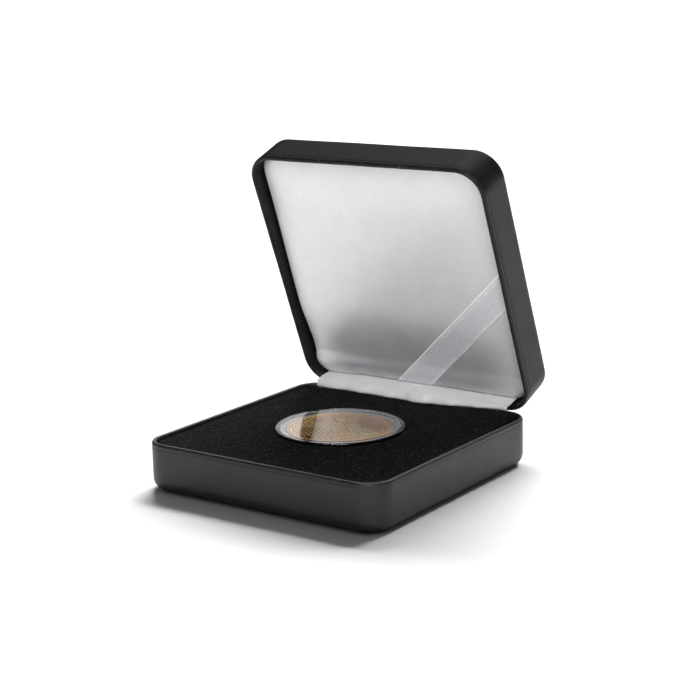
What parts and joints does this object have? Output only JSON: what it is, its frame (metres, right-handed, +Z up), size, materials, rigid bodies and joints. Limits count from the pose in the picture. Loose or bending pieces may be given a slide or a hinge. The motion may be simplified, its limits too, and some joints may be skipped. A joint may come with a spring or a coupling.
{
  "type": "coin capsule in hinged case",
  "caption": "Round clear two-part coin capsule with its coin, seated in a square hinged presentation case with a satin-lined lid and a velvet insert.",
  "frame": {"origin": "centre of the case's flat underside, on the surface it stands on", "axes": "+Z up, +X to the right seen from the front, -Y towards the front, the hinge line at +Y parallel to X"},
  "size_m": [0.085, 0.0969, 0.0984],
  "materials": {
    "leatherette": "black grained leatherette, satin sheen",
    "shell": "black lacquered pressed steel",
    "hinge_steel": "plated spring steel",
    "satin": "white satin",
    "ribbon": "white satin ribbon with woven edges",
    "velvet": "black velvet",
    "foam": "grey polyether foam",
    "board": "grey card board",
    "clear_plastic": "clear polished plastic",
    "coin_gold": "struck gold-coloured metal"
  },
  "bodies": {
    "base": {"base_shell": "shell", "base_cover": "leatherette", "hinge_leaf_base": "hinge_steel", "hinge_rivets_base": "hinge_steel", "hinge_pin": "hinge_steel", "hinge_springs": "hinge_steel", "hinge_strip": "satin", "insert_foam": "foam", "insert_board": "board", "insert_velvet": "velvet", "recess_pad": "velvet"},
    "lid": {"lid_shell": "shell", "lid_cover": "leatherette", "hinge_leaf_lid": "hinge_steel", "hinge_rivets_lid": "hinge_steel", "lid_spacer": "foam", "lid_board": "board", "lid_foam": "foam", "lid_satin": "satin", "corner_ribbon": "ribbon"},
    "capsule_tray": {"capsule_bottom": "clear_plastic"},
    "capsule_cap": {"capsule_top": "clear_plastic"},
    "loose_coin": {"coin": "coin_gold"}
  },
  "joints": [
    {"name": "lid_hinge", "type": "hinge", "parent": "base", "child": "lid", "pos_m": [0, 0.0418, 0.01545], "axis": [1, 0, 0], "range_deg": [0, 68.7], "deforming": ["hinge_strip", "hinge_springs"]},
    {"name": "capsule_lift", "type": "slide", "parent": "base", "child": "capsule_tray", "axis": [0, 0, 1], "range_m": [0, 0.025]},
    {"name": "capsule_top_lift", "type": "slide", "parent": "capsule_tray", "child": "capsule_cap", "axis": [0, 0, 1], "range_m": [0, 0.03]},
    {"name": "coin_lift", "type": "slide", "parent": "capsule_tray", "child": "loose_coin", "axis": [0, 0, 1], "range_m": [0, 0.024]}
  ],
  "couplings": [
    {"joint": "coin_lift", "follows": "capsule_top_lift", "ratio": 0.8}
  ]
}
